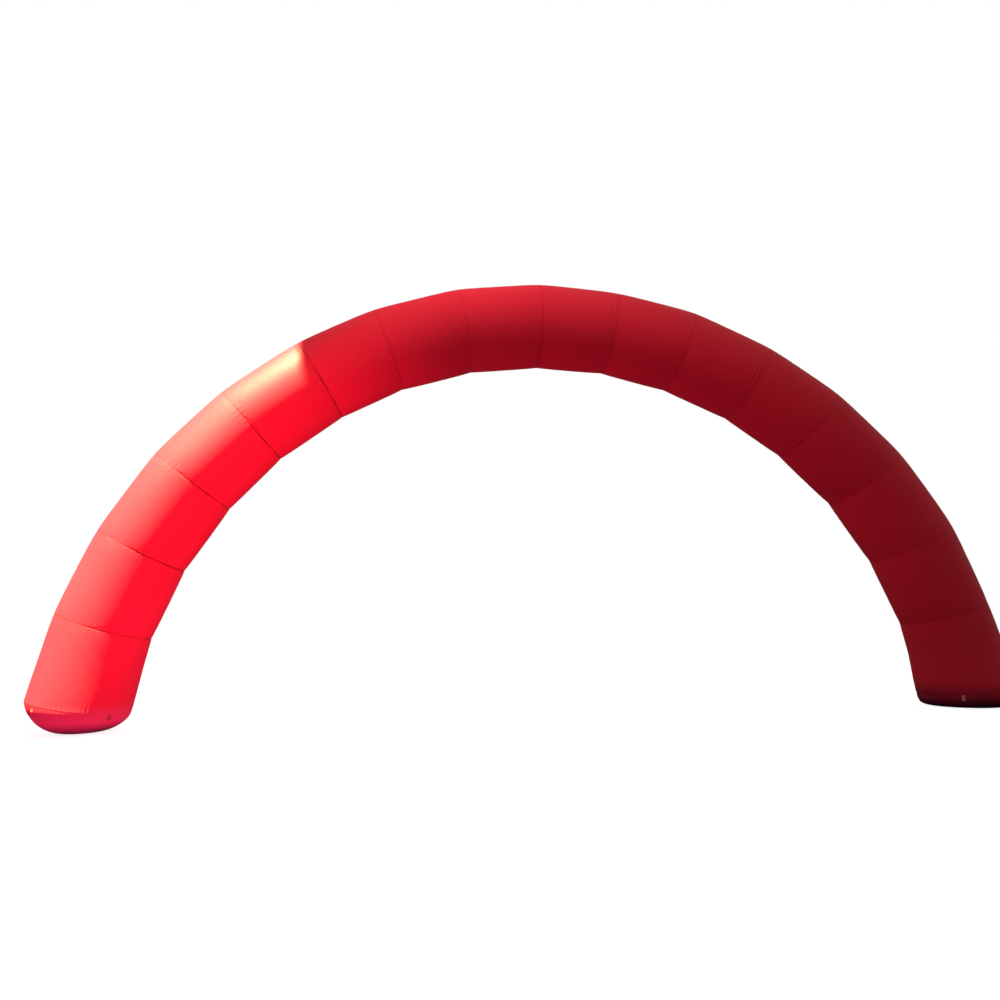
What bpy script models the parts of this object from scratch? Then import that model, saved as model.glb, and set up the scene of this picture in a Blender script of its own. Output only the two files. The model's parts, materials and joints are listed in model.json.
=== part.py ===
"""Inflatable arch: a half ring of air-filled cloth tube that stands on two domed feet.

The tube is sewn from sixteen short rings of coated polyester, cut so that each seam turns the
tube a little. Every seam pulls the cloth in, so the tube swells softly between seams. A foot is a
round cap, gathered into the last seam and pressed flat where it stands. Small tabs of webbing
are sewn into the feet for tether lines.

Units are metres and +Z is up. The arch spans X, and the origin is on the ground under its middle.
"""
from collections import namedtuple
from math import atan2, cos, radians, sin

import bmesh
import bpy
from mathutils import Matrix, Vector

COLLECTION = "inflatable_arch"

# The half ring, measured on the centre line of the tube
RING_COUNT = 16
LINE_RADIUS = 6.85
SEAM_STEP = radians(10.38)
CENTRE_DROP = 0.57
TUBE_RADIUS = 0.67

# Cloth and sewing
WALL = 0.003
SEAM_GAP = 0.0004
AROUND_RING = 32
AROUND_CAP = 64

# How far a seam pulls the cloth in: a row for each loop of a ring, from a seam to mid-ring.
# The draw-in goes all round, and crown_dip adds to it on the side away from the arch's centre,
# where the cloth is pulled straight across the corner. A foot's seam is gathered, so it pulls
# evenly and more.
Loop = namedtuple("Loop", "from_seam draw_in crown_dip")
RING_LOOPS = (
    Loop(from_seam=0.0, draw_in=0.010, crown_dip=0.016),
    Loop(from_seam=0.09, draw_in=0.003, crown_dip=0.008),
)
FOOT_LOOPS = (
    Loop(from_seam=0.0, draw_in=0.026, crown_dip=0.0),
    Loop(from_seam=0.09, draw_in=0.006, crown_dip=0.0),
)
MID_LOOP = Loop(from_seam=None, draw_in=-0.003, crown_dip=0.0)

# Where the sewing lies off the true half ring, from the left foot to the right foot: rise is
# away from the arch's centre, shift is along the tube towards the right foot, and girth is
# added to the tube's radius
Seam = namedtuple("Seam", "rise shift girth")
SEAMS = (
    Seam(rise=0.012, shift=0.110, girth=0.000),
    Seam(rise=0.010, shift=0.020, girth=0.000),
    Seam(rise=0.005, shift=-0.015, girth=0.000),
    Seam(rise=0.000, shift=0.005, girth=0.005),
    Seam(rise=-0.005, shift=-0.015, girth=0.000),
    Seam(rise=-0.010, shift=0.030, girth=0.000),
    Seam(rise=-0.005, shift=-0.020, girth=0.000),
    Seam(rise=-0.005, shift=0.030, girth=0.005),
    Seam(rise=-0.010, shift=0.020, girth=0.005),
    Seam(rise=-0.005, shift=-0.015, girth=-0.005),
    Seam(rise=0.010, shift=-0.030, girth=0.005),
    Seam(rise=0.015, shift=0.000, girth=0.000),
    Seam(rise=0.020, shift=-0.030, girth=0.005),
    Seam(rise=0.025, shift=0.000, girth=0.000),
    Seam(rise=0.000, shift=0.040, girth=-0.005),
    Seam(rise=-0.045, shift=0.010, girth=-0.025),
    Seam(rise=-0.045, shift=0.000, girth=0.000),
)

# The feet. Tilt raises the outer side of the foot's seam. Fullness is the power of the curve from
# the seam to the ground: 1 is a quarter ellipse, and a smaller value is squarer.
# Spread is how much the load widens the tube just above the foot, and the contact is the flat
# round base, shifted away from the arch's middle.
Foot = namedtuple("Foot", "side seam tilt spread contact_radius contact_shift fullness")
FEET = (
    Foot(side="left", seam=0, tilt=radians(3.0), spread=0.015, contact_radius=0.20,
         contact_shift=-0.06, fullness=1.2),
    Foot(side="right", seam=RING_COUNT, tilt=0.0, spread=0.047, contact_radius=0.52,
         contact_shift=-0.07, fullness=0.6),
)
SPREAD_REACH = 0.80

# A cap's loops run from its seam down to the ground; gather is the share of the gathers' depth
CapLoop = namedtuple("CapLoop", "angle draw_in gather")
CAP_LOOPS = (
    CapLoop(angle=radians(0), draw_in=FOOT_LOOPS[0].draw_in, gather=0.0),
    CapLoop(angle=radians(5), draw_in=0.010, gather=0.4),
    CapLoop(angle=radians(16), draw_in=0.002, gather=1.0),
    CapLoop(angle=radians(32), draw_in=0.0, gather=0.8),
    CapLoop(angle=radians(50), draw_in=0.0, gather=0.4),
    CapLoop(angle=radians(70), draw_in=0.0, gather=0.2),
    CapLoop(angle=radians(90), draw_in=0.0, gather=0.0),
)
GATHER_COUNT = 16
GATHER_DEPTH = 0.007

# Tether tabs: webbing folded double, sewn into the foot's seam and hanging over the cap.
# A bearing is taken around the foot, from the outer side towards the front.
TAB_WIDTH = 0.05
TAB_LENGTH = 0.085
TAB_THICKNESS = 0.005
TAB_CLEARANCE = 0.004
TAB_FOLD = 0.002
Tab = namedtuple("Tab", "foot place bearing")
TABS = (
    Tab(foot="left", place="outer", bearing=radians(59.1)),
    Tab(foot="left", place="inner", bearing=radians(149.1)),
    Tab(foot="right", place="inner", bearing=radians(132.2)),
    Tab(foot="right", place="outer", bearing=radians(59.1)),
)

# Colours are linear
CLOTH_RED = (0.60, 0.010, 0.020, 1.0)
WEBBING_PALE = (0.62, 0.38, 0.40, 1.0)


def clear_scene():
    """Remove every object that the file starts with."""
    for thing in list(bpy.data.objects):
        bpy.data.objects.remove(thing, do_unlink=True)


def make_material(name, colour, roughness):
    """A plain Principled material."""
    material = bpy.data.materials.new(name)
    material.use_nodes = True
    shader = material.node_tree.nodes["Principled BSDF"]
    shader.inputs["Base Color"].default_value = colour
    shader.inputs["Roughness"].default_value = roughness
    shader.inputs["Metallic"].default_value = 0.0
    return material


def add_object(name, shape, material, collection):
    """Turn a bmesh into a smooth-shaded object in the part's collection."""
    mesh = bpy.data.meshes.new(name)
    shape.to_mesh(mesh)
    shape.free()
    mesh.shade_smooth()
    mesh.set_sharp_from_angle(angle=radians(40))
    mesh.materials.append(material)
    thing = bpy.data.objects.new(name, mesh)
    collection.objects.link(thing)
    return thing


def add_wall(thing):
    """Give an open cloth surface its thickness, on its inner side."""
    wall = thing.modifiers.new("wall", "SOLIDIFY")
    wall.thickness = WALL
    wall.offset = -1.0
    wall.use_even_offset = True


def seam_centres():
    """Centre of the tube at each seam."""
    centres = []
    for number, seam in enumerate(SEAMS):
        angle = (number - RING_COUNT / 2) * SEAM_STEP + seam.shift / LINE_RADIUS
        reach = LINE_RADIUS + seam.rise
        centres.append(Vector((reach * sin(angle), 0.0, reach * cos(angle) - CENTRE_DROP)))
    return centres


def ring_leans(centres):
    """Angle of each ring's outer side from straight up, positive towards the right foot."""
    return [atan2(a.z - b.z, b.x - a.x) for a, b in zip(centres, centres[1:])]


def seam_leans(leans):
    """Angle of each seam plane: midway between its rings, and square to the arch at the feet."""
    end = RING_COUNT / 2 * SEAM_STEP
    middle = [(a + b) / 2 for a, b in zip(leans, leans[1:])]
    return [FEET[0].tilt - end] + middle + [end - FEET[1].tilt]


CENTRES = seam_centres()
RING_LEANS = ring_leans(CENTRES)
SEAM_LEANS = seam_leans(RING_LEANS)


def outward(lean):
    """Direction away from the arch's centre, in a plane at this angle."""
    return Vector((sin(lean), 0.0, cos(lean)))


def along(lean):
    """Direction along the tube towards the right foot, square to outward."""
    return Vector((cos(lean), 0.0, -sin(lean)))


def section(centre, lean, ring_lean):
    """Matrix that carries a flat round loop onto the slanting section of a round tube."""
    axes = (outward(lean) / cos(lean - ring_lean), Vector((0.0, -1.0, 0.0)), along(lean))
    turned = Matrix(axes).transposed().to_4x4()
    return Matrix.Translation(centre) @ turned


def straight_tube(around, loops):
    """A tube of radius 1, open at both ends, with a loop of vertices at each whole height."""
    shape = bmesh.new()
    bmesh.ops.create_circle(shape, cap_ends=False, radius=1.0, segments=around)
    edges = list(shape.edges)
    for _ in range(loops - 1):
        grown = bmesh.ops.extrude_edge_only(shape, edges=edges)["geom"]
        verts = [item for item in grown if isinstance(item, bmesh.types.BMVert)]
        bmesh.ops.translate(shape, vec=(0.0, 0.0, 1.0), verts=verts)
        edges = [item for item in grown if isinstance(item, bmesh.types.BMEdge)]
        edges = [edge for edge in edges if edge.verts[0] in verts and edge.verts[1] in verts]
    return shape


def face_outwards(shape, middle):
    """Turn every face of an open tube or bowl to look away from its middle."""
    bmesh.ops.recalc_face_normals(shape, faces=shape.faces)
    shape.normal_update()
    away = sum(face.normal.dot(face.calc_center_median() - middle) for face in shape.faces)
    if away < 0.0:
        bmesh.ops.reverse_faces(shape, faces=shape.faces)


def ring_stations(number, length):
    """Each loop of a ring from one seam to the other, with its share of the ring's length."""
    first = FOOT_LOOPS if number == 0 else RING_LOOPS
    last = FOOT_LOOPS if number == RING_COUNT - 1 else RING_LOOPS
    start = [((SEAM_GAP / 2 + loop.from_seam) / length, loop) for loop in first]
    end = [(1.0 - (SEAM_GAP / 2 + loop.from_seam) / length, loop) for loop in reversed(last)]
    return start + [(0.5, MID_LOOP)] + end


def foot_spread(number, share, length):
    """How much wider the tube is here because a foot just below carries the arch."""
    spread = 0.0
    for foot in FEET:
        rings_away = abs(number + share - foot.seam)
        near = max(0.0, 1.0 - rings_away * length / SPREAD_REACH)
        spread += foot.spread * near ** 2 * (3.0 - 2.0 * near)
    return spread


def ring_radius(number, share, length):
    """Tube radius at this share of a ring, before the seams pull the cloth in."""
    girth = SEAMS[number].girth * (1.0 - share) + SEAMS[number + 1].girth * share
    return TUBE_RADIUS + girth + foot_spread(number, share, length)


def ring_shape(number):
    """Skin of one ring: a wedge of tube between two seams."""
    first, last = CENTRES[number], CENTRES[number + 1]
    length = (last - first).length
    stations = ring_stations(number, length)
    shape = straight_tube(AROUND_RING, len(stations))
    for vert in shape.verts:
        share, loop = stations[round(vert.co.z)]
        lean = SEAM_LEANS[number] + (SEAM_LEANS[number + 1] - SEAM_LEANS[number]) * share
        crown = max(0.0, vert.co.x)
        radius = ring_radius(number, share, length) - loop.draw_in - loop.crown_dip * crown
        flat = Vector((vert.co.x * radius, vert.co.y * radius, 0.0))
        vert.co = section(first.lerp(last, share), lean, RING_LEANS[number]) @ flat
    face_outwards(shape, (first + last) / 2)
    return shape


def foot_spoke(foot, bearing):
    """Level direction out of a foot at this bearing."""
    sign = 1.0 if foot.seam else -1.0
    return Vector((sign * cos(bearing), -sin(bearing), 0.0))


def cap_point(foot, bearing, loop):
    """Point on a foot's skin at this bearing, on one of the cap's loops."""
    sign = 1.0 if foot.seam else -1.0
    lean = SEAM_LEANS[foot.seam]
    ring_lean = RING_LEANS[foot.seam - 1 if foot.seam else 0]
    seam_centre = CENTRES[foot.seam] + along(lean) * sign * SEAM_GAP / 2
    gather = GATHER_DEPTH * loop.gather * cos(GATHER_COUNT * bearing)
    radius = TUBE_RADIUS + foot.spread - loop.draw_in + gather
    rim = Vector((cos(bearing), sin(bearing), 0.0)) * radius
    top = section(seam_centre, lean, ring_lean) @ rim
    middle = Vector((CENTRES[foot.seam].x + sign * foot.contact_shift, 0.0, 0.0))
    base = middle + foot_spoke(foot, bearing) * foot.contact_radius
    inwards = 1.0 - cos(loop.angle)
    downwards = sin(loop.angle) ** foot.fullness
    place = top.lerp(base, inwards)
    place.z = top.z * (1.0 - downwards)
    return place


def cap_shape(foot):
    """Skin of one foot: from the gathered seam to a flat round base."""
    shape = straight_tube(AROUND_CAP, len(CAP_LOOPS))
    lowest = [edge for edge in shape.edges if edge.is_boundary and edge.verts[0].co.z > 1.0]
    bmesh.ops.contextual_create(shape, geom=lowest)
    for vert in shape.verts:
        bearing = atan2(vert.co.y, vert.co.x)
        vert.co = cap_point(foot, bearing, CAP_LOOPS[round(vert.co.z)])
    face_outwards(shape, CENTRES[foot.seam])
    return shape


def tab_place(tab):
    """Matrix of a tab: its width along the seam, its back to the cap, hanging straight down."""
    foot = next(foot for foot in FEET if foot.side == tab.foot)
    spoke = foot_spoke(foot, tab.bearing)
    points = [cap_point(foot, tab.bearing, loop) for loop in CAP_LOOPS]
    proud = max(point.dot(spoke) for point in points) - points[0].dot(spoke)
    centre = points[0] + spoke * (proud + TAB_CLEARANCE + TAB_THICKNESS / 2)
    centre.z -= TAB_LENGTH / 2
    up = Vector((0.0, 0.0, 1.0))
    turned = Matrix((spoke.cross(up), spoke, up)).transposed().to_4x4()
    return Matrix.Translation(centre) @ turned


def tab_shape(tab):
    """One tether tab: a flat strip whose lower end is rounded by the fold."""
    shape = bmesh.new()
    bmesh.ops.create_cube(shape, size=1.0)
    bmesh.ops.scale(shape, vec=(TAB_WIDTH, TAB_THICKNESS, TAB_LENGTH), verts=shape.verts)
    low = [edge for edge in shape.edges if all(vert.co.z < 0.0 for vert in edge.verts)]
    fold = [edge for edge in low if edge.verts[0].co.x * edge.verts[1].co.x < 0.0]
    bmesh.ops.bevel(shape, geom=fold, offset=TAB_FOLD, offset_type="OFFSET", affect="EDGES",
                    segments=3, profile=0.5, material=-1)
    bmesh.ops.transform(shape, matrix=tab_place(tab), verts=shape.verts)
    bmesh.ops.recalc_face_normals(shape, faces=shape.faces)
    return shape


def build():
    """Make every piece of the arch."""
    clear_scene()
    collection = bpy.data.collections.new(COLLECTION)
    bpy.context.scene.collection.children.link(collection)
    cloth = make_material("coated_polyester_red", CLOTH_RED, 0.45)
    webbing = make_material("polyester_webbing", WEBBING_PALE, 0.75)
    for number in range(RING_COUNT):
        add_wall(add_object(f"ring_{number + 1:02d}", ring_shape(number), cloth, collection))
    for foot in FEET:
        add_wall(add_object(f"foot_cap_{foot.side}", cap_shape(foot), cloth, collection))
    for tab in TABS:
        add_object(f"tether_tab_{tab.foot}_{tab.place}", tab_shape(tab), webbing, collection)


build()
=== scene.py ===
"""Looks of an inflatable event arch of red coated cloth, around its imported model.

The cloth is made anew as fine skins with creased seams, gathers and sewing thread, on the same
centre line and seams as the model's solids. Units are metres and +Z is up. The arch spans X,
its front faces -Y, and the origin is on the ground under its middle.
"""
import json
from collections import namedtuple
from math import atan2, cos, pi, radians, sin, tau

import bmesh
import bpy
import numpy as np
from bpy.props import FloatProperty, FloatVectorProperty, IntProperty, PointerProperty
from mathutils import Matrix, Vector

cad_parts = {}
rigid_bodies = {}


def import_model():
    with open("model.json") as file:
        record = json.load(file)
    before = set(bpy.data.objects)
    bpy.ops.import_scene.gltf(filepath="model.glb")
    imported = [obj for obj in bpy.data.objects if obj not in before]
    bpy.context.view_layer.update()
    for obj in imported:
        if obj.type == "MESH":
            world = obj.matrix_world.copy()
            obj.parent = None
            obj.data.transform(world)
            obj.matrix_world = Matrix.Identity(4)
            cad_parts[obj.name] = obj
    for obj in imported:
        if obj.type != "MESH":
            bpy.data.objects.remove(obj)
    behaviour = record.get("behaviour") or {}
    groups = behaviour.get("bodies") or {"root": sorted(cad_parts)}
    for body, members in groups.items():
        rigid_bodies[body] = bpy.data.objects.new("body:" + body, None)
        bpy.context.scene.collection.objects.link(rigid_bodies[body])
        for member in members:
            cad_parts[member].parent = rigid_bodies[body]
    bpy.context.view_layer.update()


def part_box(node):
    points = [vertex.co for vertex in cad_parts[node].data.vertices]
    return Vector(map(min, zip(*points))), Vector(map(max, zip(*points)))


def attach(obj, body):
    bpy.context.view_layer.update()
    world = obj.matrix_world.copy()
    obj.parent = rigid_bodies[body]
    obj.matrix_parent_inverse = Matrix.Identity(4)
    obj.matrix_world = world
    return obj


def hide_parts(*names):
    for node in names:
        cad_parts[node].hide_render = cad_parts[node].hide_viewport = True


bl_info = {
    "name": "Inflatable arch",
    "version": (1, 0, 0),
    "blender": (4, 5, 0),
    "location": "3D View > Sidebar > Arch",
    "description": "Sews the cloth of a half-round inflatable arch and lights it",
    "category": "Add Mesh",
}

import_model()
BODY = "root"
MILLIMETRE = 0.001

# The half ring, measured on the centre line of the tube
RING_COUNT = 16
LINE_RADIUS = 6.85
SEAM_STEP = radians(10.38)
CENTRE_DROP = 0.57
TUBE_RADIUS = 0.67
SEAM_GAP = 0.0004

# Where the sewing lies off the true half ring, from the left foot to the right foot: rise is
# away from the arch's centre, shift is along the tube towards the right foot, and girth is
# added to the tube's radius
Seam = namedtuple("Seam", "rise shift girth")
SEAMS = (
    Seam(rise=0.012, shift=0.110, girth=0.000),
    Seam(rise=0.010, shift=0.020, girth=0.000),
    Seam(rise=0.005, shift=-0.015, girth=0.000),
    Seam(rise=0.000, shift=0.005, girth=0.005),
    Seam(rise=-0.005, shift=-0.015, girth=0.000),
    Seam(rise=-0.010, shift=0.030, girth=0.000),
    Seam(rise=-0.005, shift=-0.020, girth=0.000),
    Seam(rise=-0.005, shift=0.030, girth=0.005),
    Seam(rise=-0.010, shift=0.020, girth=0.005),
    Seam(rise=-0.005, shift=-0.015, girth=-0.005),
    Seam(rise=0.010, shift=-0.030, girth=0.005),
    Seam(rise=0.015, shift=0.000, girth=0.000),
    Seam(rise=0.020, shift=-0.030, girth=0.005),
    Seam(rise=0.025, shift=0.000, girth=0.000),
    Seam(rise=0.000, shift=0.040, girth=-0.005),
    Seam(rise=-0.045, shift=0.010, girth=-0.025),
    Seam(rise=-0.045, shift=0.000, girth=0.000),
)

# The feet. Tilt raises the outer side of the foot's seam. Fullness is the power of the curve from
# the seam to the ground: 1 is a quarter ellipse, and a smaller value is squarer.
# Spread is how much the load widens the tube just above the foot, and the contact is the flat
# round base, shifted away from the arch's middle.
Foot = namedtuple("Foot", "side seam tilt spread contact_radius contact_shift fullness")
FEET = (
    Foot(side="left", seam=0, tilt=radians(3.0), spread=0.015, contact_radius=0.20,
         contact_shift=-0.06, fullness=1.2),
    Foot(side="right", seam=RING_COUNT, tilt=0.0, spread=0.047, contact_radius=0.52,
         contact_shift=-0.07, fullness=0.6),
)
SPREAD_REACH = 0.80

# Tether tabs. A bearing is taken around the foot, from the outer side towards the front.
TAB_WIDTH = 0.05
TAB_LENGTH = 0.085
TAB_THICKNESS = 0.005
TAB_CLEARANCE = 0.004
Tab = namedtuple("Tab", "foot place bearing dirt")
TABS = (
    Tab(foot="left", place="outer", bearing=radians(59.1), dirt=0.94),
    Tab(foot="left", place="inner", bearing=radians(149.1), dirt=0.95),
    Tab(foot="right", place="inner", bearing=radians(132.2), dirt=0.30),
    Tab(foot="right", place="outer", bearing=radians(59.1), dirt=0.60),
)

# Fineness of the skins: vertices round the tube, and the distance of each loop from its seam,
# close together where the crease and the gathers are
AROUND = 320
LOOP_DISTANCES = (0.0, 0.003, 0.007, 0.012, 0.018, 0.024, 0.026, 0.036, 0.050, 0.068, 0.086, 0.104,
                  0.122, 0.140, 0.160, 0.180, 0.200, 0.222, 0.246, 0.272, 0.300, 0.340, 0.400,
                  0.470, 0.550)
CAP_ANGLES = (0.0, 0.4, 1.0, 1.8, 2.8, 4.0, 5.5, 7.5, 10.0, 13.0, 16.5, 20.5, 25.0, 30.0, 36.0,
              43.0, 50.0, 58.0, 66.0, 74.0, 82.0, 90.0)
CAP_BASE_RINGS = 4

# Seam allowance: the cloth turns inwards at its sewn edge
ALLOWANCE = 0.010

# The seam pulls the cloth in over a long way, most on the side away from the arch's centre, and
# makes a narrow crease right at the stitches. At the feet it doesn't pull the cloth in.
PULL_ALL_ROUND = 0.005
PULL_CROWN = 0.008
PULL_REACH = 0.13
PULL_FOOT = 0.0
PULL_FOOT_REACH = 0.06
CAP_FULL_ANGLE = radians(42)
SWELL = 0.003
CREASE_REACH = 0.008

# Depth of the crease at each seam as a share, from the left foot to the right foot: deep where
# the left leg carries its bend, and hardly there where the right leg is pulled tight
CREASES = (0.0, 0.75, 1.00, 0.90, 1.00, 0.80, 0.25, 0.12, 0.30, 0.18, 0.12, 0.12, 0.18, 0.14, 0.14,
           0.14, 0.05)
CREASE_CROWN = 0.08
# Share of the seam dust and painted crease shade that stays over the tube's outer side
SEAM_DUST_AND_SHADE_CROWN = 0.50
CROWN_EDGES = (radians(80), radians(102))

# The felled strip: past each seam the cloth is double, and two rows of thread hold it down
FELL_WIDTH = 0.025
FELL_HEIGHT = 0.0006
THREAD_ROWS = (0.005, 0.019)
STITCHES_ROUND = 330
THREAD_RADIUS = 0.0011

# Seam dust with painted crease shade lies this near to a seam's stitches. Painted contact shadow
# with dirt, and a painted tint of floor bounce light, lie this high above the ground
SEAM_DUST_AND_SHADE_REACH = 0.008
GROUND_SHADE_AND_DIRT_LEFT = 0.18
GROUND_BOUNCE_TINT_HEIGHT = 0.45
GROUND_SHADE_AND_DIRT_RIGHT = 0.36

# Gathers: short puckers square to a seam, this many round the tube
GATHERS = (38, 62)
FOOT_GATHERS = (62, 96)
FOOT_GATHER_DEPTH = 0.0026
FOOT_GATHER_LENGTH = 0.040
CAP_GATHER_COUNT = 16
CAP_GATHER_DEPTH = 0.004

# Slack ripples that lie along a seam, in a stretch round the tube. Side is -1 before the seam and
# 1 past it. Bearings are taken from the crown towards the front.
Ripple = namedtuple("Ripple", "seam side first last count pitch depth")
RIPPLES = (
    Ripple(seam=5, side=-1, first=radians(20), last=radians(70), count=1, pitch=0.075,
           depth=0.0030),
    Ripple(seam=7, side=-1, first=radians(30), last=radians(115), count=3, pitch=0.060,
           depth=0.0022),
    Ripple(seam=7, side=1, first=radians(40), last=radians(110), count=2, pitch=0.055,
           depth=0.0020),
    Ripple(seam=8, side=-1, first=radians(35), last=radians(165), count=1, pitch=0.060,
           depth=0.0050),
    Ripple(seam=8, side=1, first=radians(30), last=radians(165), count=2, pitch=0.050,
           depth=0.0060),
    Ripple(seam=9, side=-1, first=radians(45), last=radians(122), count=5, pitch=0.055,
           depth=0.0065),
    Ripple(seam=10, side=-1, first=radians(55), last=radians(105), count=2, pitch=0.065,
           depth=0.0080),
    Ripple(seam=11, side=-1, first=radians(68), last=radians(120), count=2, pitch=0.060,
           depth=0.0080),
    Ripple(seam=13, side=-1, first=radians(70), last=radians(120), count=2, pitch=0.070,
           depth=0.0025),
)

# Folds: single slanting creases that start at a seam, such as where the cloth was caught in it.
# Side is -1 before the seam and 1 past it, slant is how far it runs round for each metre along.
Fold = namedtuple("Fold", "seam side bearing slant length depth")
FOLDS = (
    Fold(seam=1, side=1, bearing=radians(99), slant=6.0, length=0.08, depth=0.006),
    Fold(seam=2, side=-1, bearing=radians(66), slant=5.0, length=0.09, depth=0.006),
    Fold(seam=2, side=1, bearing=radians(70), slant=4.0, length=0.08, depth=0.004),
    Fold(seam=3, side=1, bearing=radians(92), slant=5.0, length=0.07, depth=0.007),
    Fold(seam=4, side=-1, bearing=radians(88), slant=5.0, length=0.10, depth=0.008),
    Fold(seam=4, side=1, bearing=radians(96), slant=4.0, length=0.08, depth=0.006),
    Fold(seam=4, side=-1, bearing=radians(150), slant=3.0, length=0.10, depth=0.007),
    Fold(seam=5, side=1, bearing=radians(82), slant=4.0, length=0.12, depth=0.006),
    Fold(seam=6, side=-1, bearing=radians(118), slant=0.8, length=0.18, depth=0.007),
    Fold(seam=8, side=1, bearing=radians(150), slant=-0.6, length=0.16, depth=0.007),
    Fold(seam=10, side=1, bearing=radians(148), slant=0.9, length=0.15, depth=0.020),
    Fold(seam=12, side=1, bearing=radians(150), slant=-0.9, length=0.14, depth=0.018),
    Fold(seam=13, side=-1, bearing=radians(110), slant=0.5, length=0.20, depth=0.006),
    Fold(seam=15, side=-1, bearing=radians(105), slant=0.4, length=0.18, depth=0.006),
    Fold(seam=16, side=-1, bearing=radians(152), slant=0.1, length=0.16, depth=0.006),
    Fold(seam=16, side=-1, bearing=radians(147), slant=0.0, length=0.18, depth=0.006),
    Fold(seam=16, side=-1, bearing=radians(142), slant=-0.1, length=0.15, depth=0.006),
    Fold(seam=16, side=-1, bearing=radians(131), slant=0.6, length=0.12, depth=0.005),
    Fold(seam=16, side=-1, bearing=radians(126), slant=-0.8, length=0.14, depth=0.005),
)
FOLD_WIDTH = 0.022

# The camera that took the reference picture: place, direction and lens
CAMERA_PLACE = Vector((-1.6174, -11.1597, 1.3039))
CAMERA_YAW = radians(4.89)
CAMERA_PITCH = radians(10.31)
CAMERA_ROLL = radians(-1.19)
CAMERA_LENS = 25.86
SENSOR_WIDTH = 36.0

# The lamps: place, the point they look at, angle of the beam, softness of its edge and size. They
# light the arch only, and the floor and the world have a light of their own.
Lamp = namedtuple("Lamp", "name place target cone blend size colour")
KEY_LAMP = Lamp(name="key_light", place=(-16.40, -13.50, 42.2), target=(-8.80, -0.29, 5.21),
                cone=radians(14.25), blend=0.03, size=0.08, colour="#ffe3a1")
FILL_LAMP = Lamp(name="fill_light", place=(-1.8, -5.5, 0.3), target=(-5.6, 0.0, 3.4),
                 cone=radians(74), blend=1.0, size=1.0, colour="#ff527e")
TOP_LAMP = Lamp(name="top_light", place=(-3.0, -5.4, 12.6), target=(-1.0, 0.0, 6.0),
                cone=radians(68), blend=0.9, size=2.5, colour="#ffdccb")

# The light that the floor throws on the arch, at these places along it from the far left to the
# far right: strong and red on the left, where light falls through the cloth. The share of it and
# of the sky that the arch's gloss shows.
FLOOR_REACH = 12.0
FLOOR_GLOWS = ((0.0, "#4a3038"), (0.10, "#b8507a"), (0.18, "#ff5e9d"), (0.30, "#ff5e9d"),
               (0.44, "#80405a"), (0.60, "#52383e"), (0.80, "#342a2c"), (1.0, "#342a2c"))
FLOOR_GLOW = 1.50
GLOSS_SHARE = 0.15

# The sky is brighter towards this side and dimmer away from it, by its length as a share
SKY_TILT = (0.33, 0.41, 0.44)
SKY_GLOSS = 0.8


def hex_colour(text):
    """Linear colour from an sRGB hex value such as #c80f1e."""
    levels = [int(text[place:place + 2], 16) / 255 for place in (1, 3, 5)]
    return tuple(
        level / 12.92 if level <= 0.04045 else ((level + 0.055) / 1.055) ** 2.4 for level in levels
    )


def opaque(colour):
    """The colour with full alpha, as a colour socket takes it."""
    return (*colour, 1.0)


class ArchClothSettings(bpy.types.PropertyGroup):
    """Sizes and colours of the sewn cloth."""

    cloth_colour: FloatVectorProperty(
        name="Cloth", description="Dye of the coated cloth", subtype="COLOR", size=3,
        min=0.0, max=1.0, default=hex_colour("#cb263a"))
    faded_colour: FloatVectorProperty(
        name="Faded cloth", description="The dye where sun and rain have worn it", subtype="COLOR",
        size=3, min=0.0, max=1.0, default=hex_colour("#d22b3f"))
    # Colour of the seam dust, which also paints the shade in the narrow creases
    seam_dust_and_shade_colour: FloatVectorProperty(
        name="Soil", description="Dust that the cloth takes up in its seams",
        subtype="COLOR", size=3, min=0.0, max=1.0, default=hex_colour("#5a0c14"))
    # Colour of the painted contact shadow and dirt near the ground
    ground_shade_and_dirt_colour: FloatVectorProperty(
        name="Damp", description="Wet dirt that the cloth takes up from the ground",
        subtype="COLOR", size=3, min=0.0, max=1.0, default=hex_colour("#1a0a2c"))
    # Colour of the painted pink tint of floor bounce light on the left foot
    bounce_tint_colour: FloatVectorProperty(
        name="Dust", description="Dry dust that rain throws up from the ground",
        subtype="COLOR", size=3, min=0.0, max=1.0, default=hex_colour("#c25a74"))
    thread_colour: FloatVectorProperty(
        name="Thread", description="Dye of the sewing thread", subtype="COLOR", size=3,
        min=0.0, max=1.0, default=hex_colour("#b01222"))
    crease_depth: FloatProperty(
        name="Crease depth", description="How deep the crease is at a seam", unit="LENGTH",
        default=0.0065, min=0.0, max=0.03)
    gather_depth: FloatProperty(
        name="Gather depth", description="Height of the puckers beside a seam", unit="LENGTH",
        default=0.0012, min=0.0, max=0.02)
    gather_length: FloatProperty(
        name="Gather length", description="Distance from the seam at which puckers are highest",
        unit="LENGTH", default=0.030, min=0.005, max=0.2)
    unevenness: FloatProperty(
        name="Unevenness", description="How far the tube is off a true round", unit="LENGTH",
        default=0.0035, min=0.0, max=0.02)
    seed: IntProperty(name="Seed", description="Start of the uneven waves", default=7, min=0)


class ArchTabSettings(bpy.types.PropertyGroup):
    """Sizes and colours of the tether tabs."""

    webbing_colour: FloatVectorProperty(
        name="Webbing", description="Colour of the tabs' webbing", subtype="COLOR", size=3,
        min=0.0, max=1.0, default=hex_colour("#d89aa4"))
    stain_colour: FloatVectorProperty(
        name="Stain", description="Red dye and dirt that the webbing has taken up",
        subtype="COLOR", size=3, min=0.0, max=1.0, default=hex_colour("#a01c28"))
    layer: FloatProperty(
        name="Layer", description="Thickness of one layer of webbing", unit="LENGTH",
        default=0.0018, min=0.0005, max=0.004)


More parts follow.
